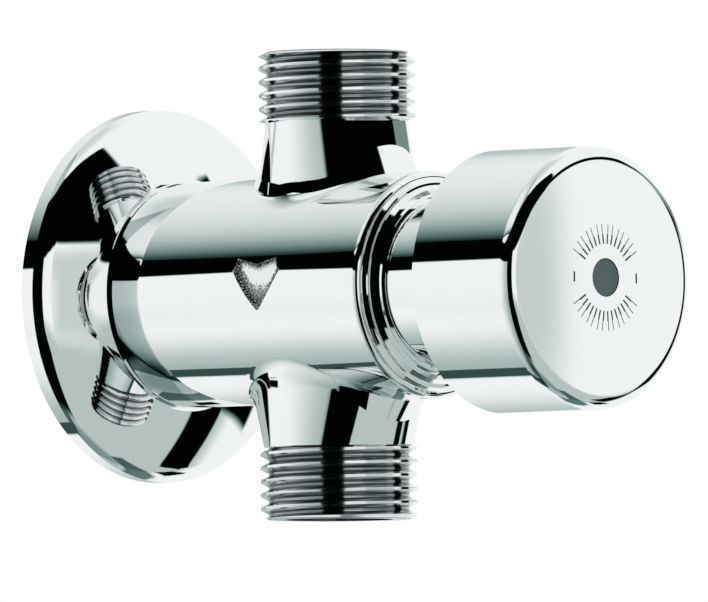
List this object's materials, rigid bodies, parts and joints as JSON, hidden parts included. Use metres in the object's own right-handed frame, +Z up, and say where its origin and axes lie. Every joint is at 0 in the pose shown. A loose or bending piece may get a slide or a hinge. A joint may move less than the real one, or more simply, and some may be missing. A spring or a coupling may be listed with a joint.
{
  "type": "urinal flush valve",
  "caption": "Wall-mounted push-button flush valve with a threaded inlet above, a threaded outlet below, a domed wall rosette and a cartridge that closes it by itself.",
  "frame": {"origin": "centre of the rosette's back rim, on the wall plane", "axes": "+Z up towards the inlet, -Y away from the wall towards the button, +X to the right when looking along +Y"},
  "size_m": [0.05, 0.0839, 0.0624],
  "materials": {
    "body_chrome": "polished chrome plate over cast brass",
    "rosette_chrome": "polished chrome plate on pressed brass",
    "bonnet_chrome": "polished chrome plate on turned brass",
    "button_chrome": "polished chrome plate on turned brass",
    "dot_plastic": "smooth grey plastic",
    "guide_plastic": "dark moulded plastic",
    "acetal": "moulded acetal",
    "rubber": "black nitrile rubber",
    "fibre": "red vulcanised fibre",
    "brass": "turned brass",
    "steel": "stainless steel, turned or drawn"
  },
  "bodies": {
    "valve": {"valve_body": "body_chrome", "wall_rosette": "rosette_chrome", "rosette_o_ring": "rubber", "bonnet": "bonnet_chrome", "cartridge_housing": "acetal", "nose_o_ring": "rubber", "housing_gasket": "fibre", "cap_gasket": "rubber", "cylinder_cap": "brass", "spindle_o_ring": "rubber", "spindle_bush": "acetal", "metering_needle": "steel", "return_spring": "steel"},
    "plunger": {"piston": "acetal", "piston_lip_seal": "rubber", "metering_bush": "brass"},
    "button_group": {"push_button": "button_chrome", "spindle": "steel", "valve_washer": "rubber", "washer_carrier": "brass", "carrier_clip": "steel", "piston_clip": "steel", "button_guide_ring": "guide_plastic", "button_screw": "steel", "button_dot": "dot_plastic"}
  },
  "joints": [
    {"name": "button_press", "type": "slide", "parent": "valve", "child": "plunger", "axis": [0, 1, 0], "range_m": [0, 0.006], "stiffness_N_per_m": 1500, "springref_m": -0.006, "deforming": ["return_spring"]},
    {"name": "button_turn", "type": "hinge", "parent": "plunger", "child": "button_group", "pos_m": [0, -0.07, 0], "axis": [0, -1, 0], "continuous": true}
  ]
}
